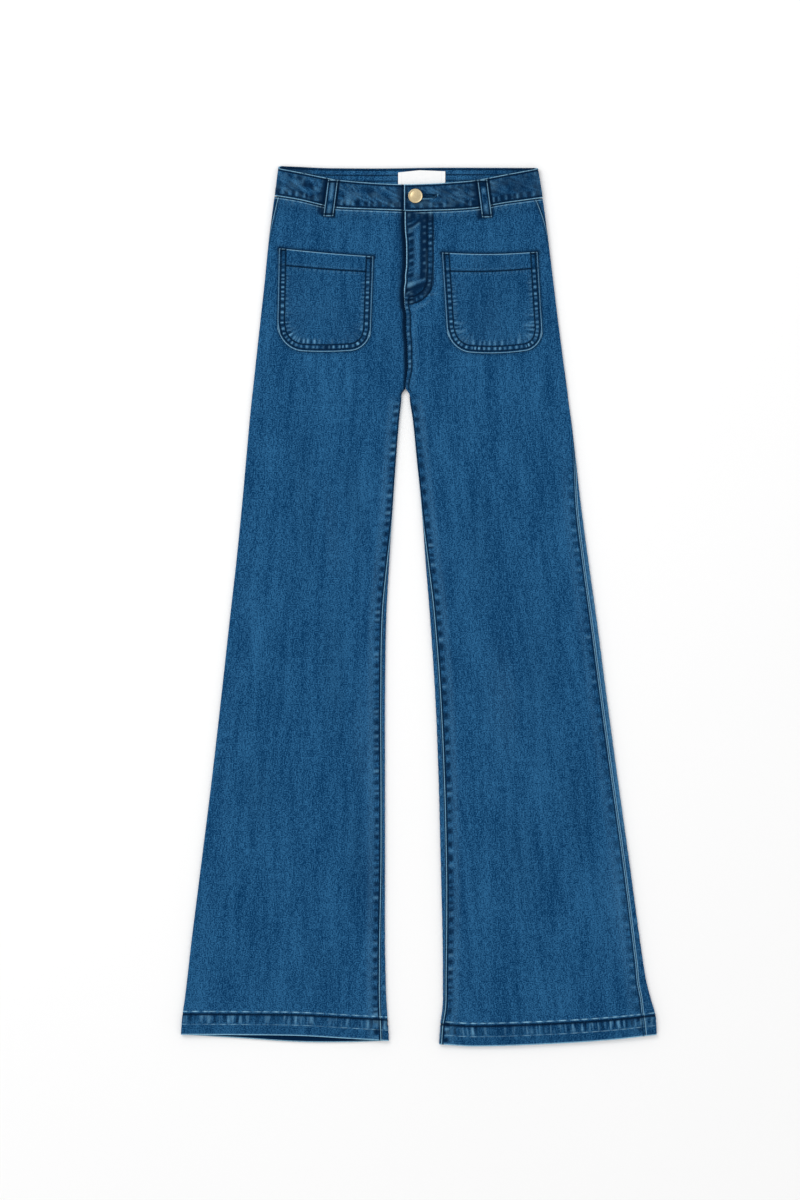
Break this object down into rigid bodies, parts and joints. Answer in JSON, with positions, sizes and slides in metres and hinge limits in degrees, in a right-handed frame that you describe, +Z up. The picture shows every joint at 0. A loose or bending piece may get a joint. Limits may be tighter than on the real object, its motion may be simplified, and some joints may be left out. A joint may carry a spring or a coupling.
{
  "type": "flared jeans",
  "caption": "High-waisted flared denim jeans laid flat, front up, with patch pockets, belt loops, a shank button and turned-up hems.",
  "frame": {"origin": "on the surface the jeans lie on, below the middle of their box", "axes": "+Z up out of the front of the jeans, +Y along the legs towards the waist, +X towards the wearer's left"},
  "size_m": [0.5944, 1.0994, 0.0111],
  "materials": {
    "denim": "washed indigo twill, matt",
    "brass": "satin",
    "label": "white woven satin, blank",
    "zip": "navy woven tape"
  },
  "bodies": {
    "root": {"front_left": "denim", "front_right": "denim", "back_left": "denim", "back_right": "denim", "waistband": "denim", "pocket_left": "denim", "pocket_right": "denim", "belt_loop_front_left": "denim", "belt_loop_front_right": "denim", "belt_loop_back_left": "denim", "belt_loop_back_centre": "denim", "belt_loop_back_right": "denim", "fly_shield": "denim", "zip": "zip", "button": "brass", "label": "label"}
  },
  "joints": []
}
